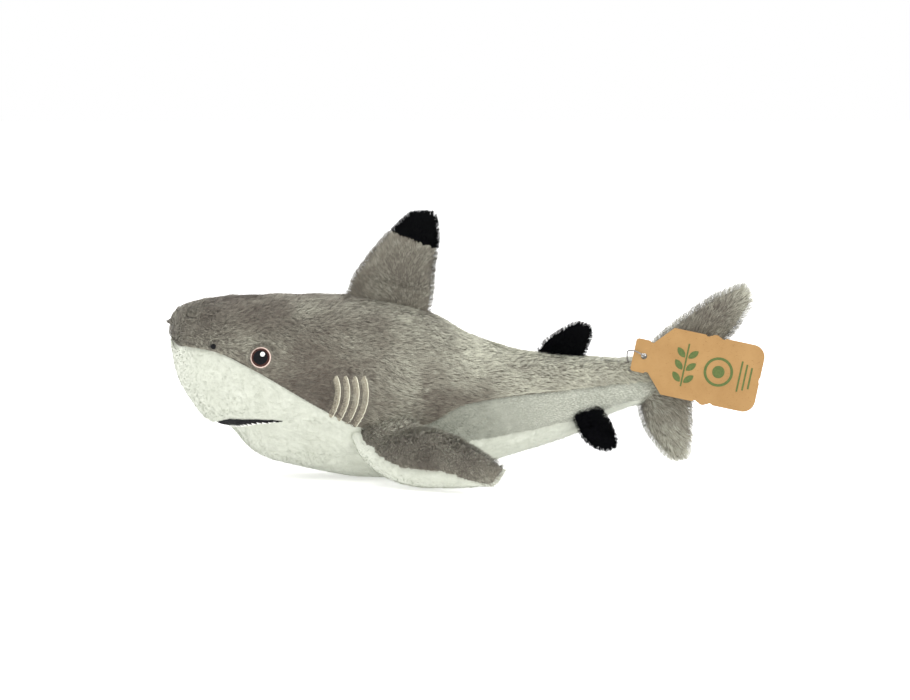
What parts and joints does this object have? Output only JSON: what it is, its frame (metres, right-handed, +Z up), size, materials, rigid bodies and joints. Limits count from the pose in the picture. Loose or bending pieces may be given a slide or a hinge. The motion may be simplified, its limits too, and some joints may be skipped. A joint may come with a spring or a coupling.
{
  "type": "plush shark",
  "caption": "Soft stuffed reef shark toy, long grey pile above and short white pile below, with flexing tail and fins, embroidered face and a card hang tag.",
  "frame": {"origin": "middle of the footprint, on the surface that the shark lies on", "axes": "-X from the tail to the nose, +X towards the tail, -Y to the shark's left side, +Z up"},
  "size_m": [0.386, 0.216, 0.1715],
  "materials": {
    "grey_pile": "matte",
    "flank_pile": "matte",
    "white_pile": "matte",
    "black_pile": "matte",
    "stuffing": "matte",
    "black_thread": "satin",
    "white_thread": "satin",
    "brown_thread": "satin",
    "pink_thread": "satin",
    "cream_thread": "satin",
    "nylon": "gloss",
    "kraft_card": "matte",
    "print_ink": "matte"
  },
  "bodies": {
    "trunk": {"back_left_panel": "grey_pile", "back_right_panel": "grey_pile", "flank_left_panel": "flank_pile", "flank_right_panel": "flank_pile", "upper_jaw_left_panel": "white_pile", "upper_jaw_right_panel": "white_pile", "belly_panel": "white_pile", "trunk_filling": "stuffing", "mouth_embroidery": "black_thread", "teeth_embroidery": "white_thread", "left_eye_rim": "pink_thread", "left_eye_iris": "brown_thread", "left_eye_pupil": "black_thread", "left_eye_glint": "white_thread", "right_eye_rim": "pink_thread", "right_eye_iris": "brown_thread", "right_eye_pupil": "black_thread", "right_eye_glint": "white_thread", "left_nostril": "black_thread", "right_nostril": "black_thread", "left_gill_stitches": "cream_thread", "right_gill_stitches": "cream_thread"},
    "left_side_fin": {"left_fin_top": "grey_pile", "left_fin_underside": "white_pile", "left_fin_filling": "stuffing"},
    "right_side_fin": {"right_fin_top": "grey_pile", "right_fin_underside": "white_pile", "right_fin_filling": "stuffing"},
    "back_fin": {"back_fin_left_side": "grey_pile", "back_fin_right_side": "grey_pile", "back_fin_tip": "black_pile", "back_fin_filling": "stuffing"},
    "second_back_fin": {"second_back_fin": "black_pile"},
    "left_rear_fin": {"left_rear_fin": "black_pile"},
    "right_rear_fin": {"right_rear_fin": "black_pile"},
    "tail": {"tail_root_left_panel": "grey_pile", "tail_root_right_panel": "grey_pile", "tail_root_filling": "stuffing", "tail_fin_left_side": "grey_pile", "tail_fin_right_side": "grey_pile", "tail_fin_filling": "stuffing"},
    "loop": {"tag_loop": "nylon"},
    "tag": {"hang_tag": "kraft_card", "tag_print": "print_ink"}
  },
  "joints": [
    {"name": "tail_swing", "type": "hinge", "parent": "trunk", "child": "tail", "pos_m": [0.109, 0, 0.062], "axis": [0, 0, 1], "range_deg": [-25, 25], "stiffness_Nm_per_rad": 0.06},
    {"name": "left_side_fin_flap", "type": "hinge", "parent": "trunk", "child": "left_side_fin", "pos_m": [-0.071, -0.0538, 0.0242], "axis": [-0.9531, -0.0139, -0.3022], "range_deg": [0, 45], "stiffness_Nm_per_rad": 0.05},
    {"name": "right_side_fin_flap", "type": "hinge", "parent": "trunk", "child": "right_side_fin", "pos_m": [-0.071, 0.0538, 0.0242], "axis": [0.9531, -0.0139, 0.3022], "range_deg": [0, 45], "stiffness_Nm_per_rad": 0.05},
    {"name": "back_fin_flex", "type": "hinge", "parent": "trunk", "child": "back_fin", "pos_m": [-0.071, 0, 0.1264], "axis": [0.9781, 0, -0.2084], "range_deg": [-20, 20], "stiffness_Nm_per_rad": 0.06},
    {"name": "second_back_fin_flex", "type": "hinge", "parent": "trunk", "child": "second_back_fin", "pos_m": [0.052, 0, 0.086], "axis": [0.9979, 0, -0.0642], "range_deg": [-20, 20], "stiffness_Nm_per_rad": 0.02},
    {"name": "left_rear_fin_flex", "type": "hinge", "parent": "trunk", "child": "left_rear_fin", "pos_m": [0.072, -0.0216, 0.0356], "axis": [-0.923, -0.3193, -0.2145], "range_deg": [-20, 20], "stiffness_Nm_per_rad": 0.02},
    {"name": "right_rear_fin_flex", "type": "hinge", "parent": "trunk", "child": "right_rear_fin", "pos_m": [0.072, 0.0216, 0.0356], "axis": [0.923, -0.3193, 0.2145], "range_deg": [-20, 20], "stiffness_Nm_per_rad": 0.02},
    {"name": "loop_swing", "type": "hinge", "parent": "tail", "child": "loop", "pos_m": [0.1055, -0.0076, 0.0733], "axis": [0, 0, 1], "range_deg": [-35, 0]},
    {"name": "tag_swing", "type": "hinge", "parent": "loop", "child": "tag", "pos_m": [0.1153, -0.021, 0.0804], "axis": [0, 1, 0], "range_deg": [-20, 35]}
  ]
}
